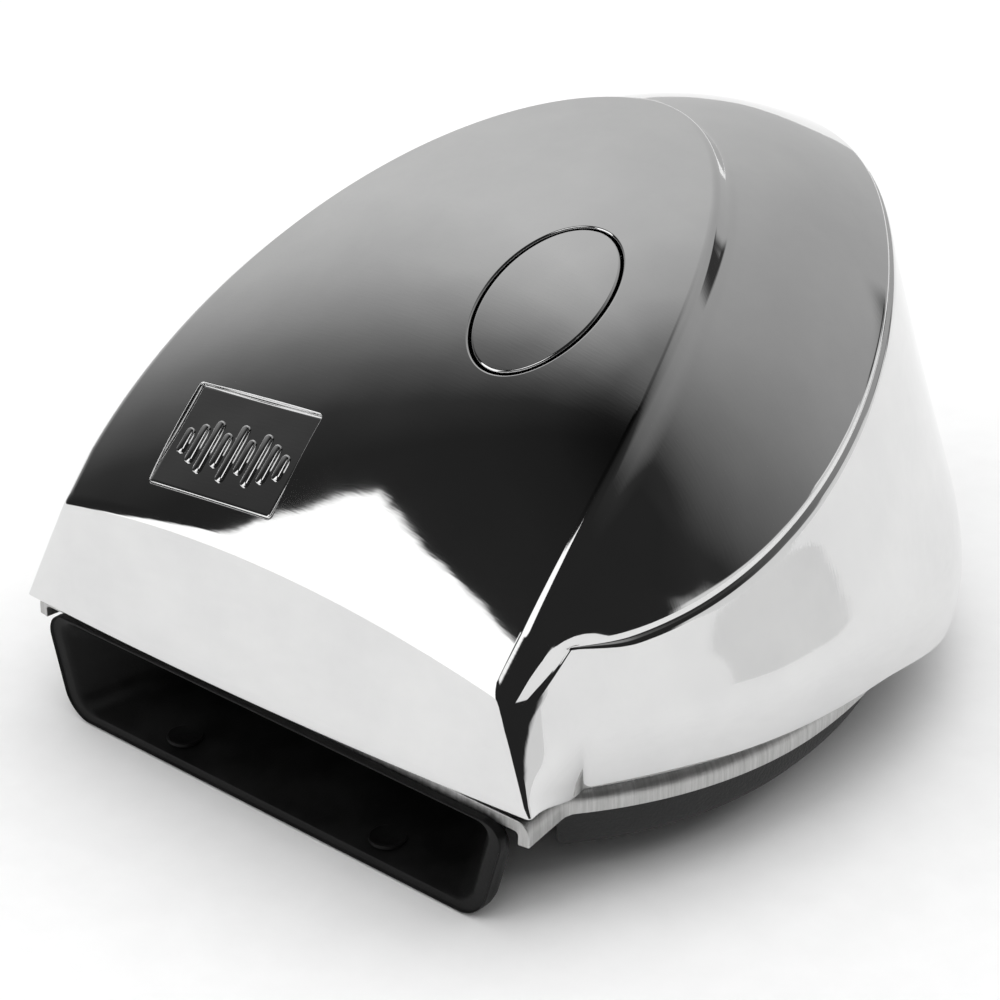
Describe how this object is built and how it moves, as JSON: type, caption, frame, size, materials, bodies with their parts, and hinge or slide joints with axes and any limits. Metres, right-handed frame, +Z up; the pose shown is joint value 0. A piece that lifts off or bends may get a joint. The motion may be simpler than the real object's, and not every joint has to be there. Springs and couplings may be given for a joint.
{
  "type": "compact deck horn",
  "caption": "Low chromed deck horn with a flared cast cover, a wide moulded mouth below its front face, and an electric diaphragm driver inside.",
  "frame": {"origin": "centre of the bounding box on the plane of the base foot and the trumpet's lower lip", "axes": "+Z up off the deck, the mouth faces -Y, +X to the right of the mouth as the horn sees it from behind"},
  "size_m": [0.1032, 0.1084, 0.0684],
  "materials": {
    "chrome_cast": "mirror-polished chrome plating on a zinc casting",
    "satin_steel": "satin stamped stainless sheet with vertical draw marks",
    "black_moulding": "black moulded plastic, semi-matt",
    "black_rubber": "black rubber, slightly grainy",
    "zinc_steel": "zinc-plated steel",
    "copper_wire": "enamelled copper wire",
    "contact_brass": "plain brass",
    "brown_board": "paper laminate board"
  },
  "bodies": {
    "horn_body": {"cover": "chrome_cast", "name_plate": "chrome_cast", "pan": "satin_steel", "base_ring": "black_rubber", "cover_screw_left": "zinc_steel", "cover_screw_right": "zinc_steel", "wire_grommet": "black_rubber", "trumpet": "black_moulding", "diaphragm_seal": "black_rubber", "diaphragm": "zinc_steel", "driver_can": "zinc_steel", "flange_rivet_1": "zinc_steel", "flange_rivet_2": "zinc_steel", "flange_rivet_3": "zinc_steel", "flange_rivet_4": "zinc_steel", "flange_rivet_5": "zinc_steel", "flange_rivet_6": "zinc_steel", "coil_bobbin": "black_moulding", "coil_winding": "copper_wire", "magnet_core": "zinc_steel", "driver_bracket": "zinc_steel", "core_nut": "zinc_steel", "breaker_base": "brown_board", "fixed_contact": "contact_brass", "tuning_nut": "zinc_steel", "terminal_left": "contact_brass", "terminal_right": "contact_brass", "terminal_board": "brown_board"},
    "armature": {"armature": "zinc_steel"},
    "breaker": {"breaker_arm": "contact_brass", "moving_contact": "contact_brass"},
    "tuning": {"tuning_screw": "contact_brass"},
    "cap": {"cover_cap": "chrome_cast"}
  },
  "joints": [
    {"name": "armature_travel", "type": "slide", "parent": "horn_body", "child": "armature", "axis": [0, 1, 0], "range_m": [0, 0.00035], "stiffness_N_per_m": 2000},
    {"name": "breaker_pivot", "type": "hinge", "parent": "horn_body", "child": "breaker", "pos_m": [0, 0.0164, 0.0156], "axis": [-1, 0, 0], "range_deg": [0, 4.2]},
    {"name": "tuning_turn", "type": "hinge", "parent": "horn_body", "child": "tuning", "pos_m": [0, 0.0064, 0.008], "axis": [0, 0, 1], "range_deg": [-180, 180]},
    {"name": "cap_pull", "type": "slide", "parent": "horn_body", "child": "cap", "axis": [0.1053, -0.4234, 0.8998], "range_m": [0, 0.008]}
  ],
  "couplings": [
    {"joint": "breaker_pivot", "follows": "armature_travel", "rad_per_m": 208}
  ]
}
